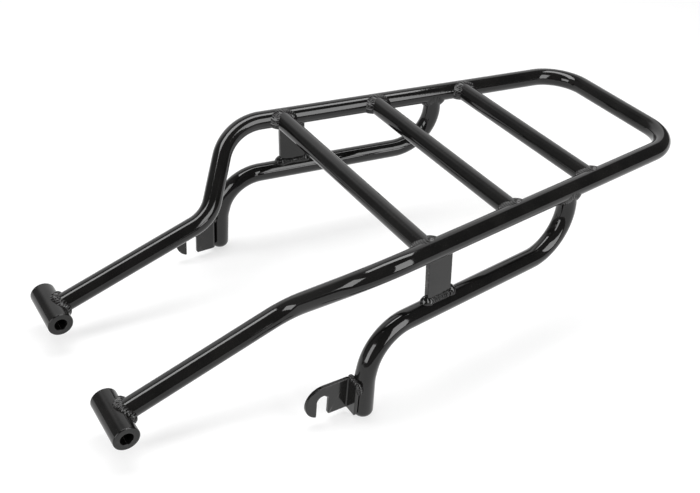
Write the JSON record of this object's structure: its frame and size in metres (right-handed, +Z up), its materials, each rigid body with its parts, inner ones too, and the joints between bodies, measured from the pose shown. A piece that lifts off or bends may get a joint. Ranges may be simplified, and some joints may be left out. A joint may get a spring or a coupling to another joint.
{
  "type": "motorcycle luggage rack",
  "caption": "Rigid tubular steel rear rack for a motorcycle: a tapered bent loop with crossbars, side stays with gussets, downward hooks and bushes on a front mounting axis.",
  "frame": {"origin": "middle of the front mounting axis, halfway between the two bushes", "axes": "+X along the mounting axis to the motorcycle's left, +Y to the rear, +Z up from the level deck"},
  "size_m": [0.2616, 0.5406, 0.1359],
  "materials": {
    "tube_paint": "gloss black paint on drawn tube",
    "plate_paint": "gloss black paint on cut and bent plate",
    "bush_paint": "gloss black paint on turned steel",
    "weld_paint": "gloss black paint over rippled weld beads"
  },
  "bodies": {
    "root": {"main_loop": "tube_paint", "crossbar_front": "tube_paint", "crossbar_middle": "tube_paint", "crossbar_rear": "tube_paint", "stay_left": "tube_paint", "stay_right": "tube_paint", "foot_cap_left": "tube_paint", "foot_cap_right": "tube_paint", "mount_bush_left": "bush_paint", "mount_bush_right": "bush_paint", "gusset_left": "plate_paint", "gusset_right": "plate_paint", "hook_bracket_left": "plate_paint", "hook_bracket_right": "plate_paint", "weld_stay_top_left": "weld_paint", "weld_stay_top_right": "weld_paint", "weld_gusset_top_left": "weld_paint", "weld_gusset_top_right": "weld_paint", "weld_gusset_bottom_left": "weld_paint", "weld_gusset_bottom_right": "weld_paint", "weld_mount_bush_left": "weld_paint", "weld_mount_bush_right": "weld_paint", "weld_hook_bracket_left": "weld_paint", "weld_hook_bracket_right": "weld_paint", "weld_crossbar_front_left": "weld_paint", "weld_crossbar_front_right": "weld_paint", "weld_crossbar_middle_left": "weld_paint", "weld_crossbar_middle_right": "weld_paint", "weld_crossbar_rear_left": "weld_paint", "weld_crossbar_rear_right": "weld_paint"}
  },
  "joints": []
}
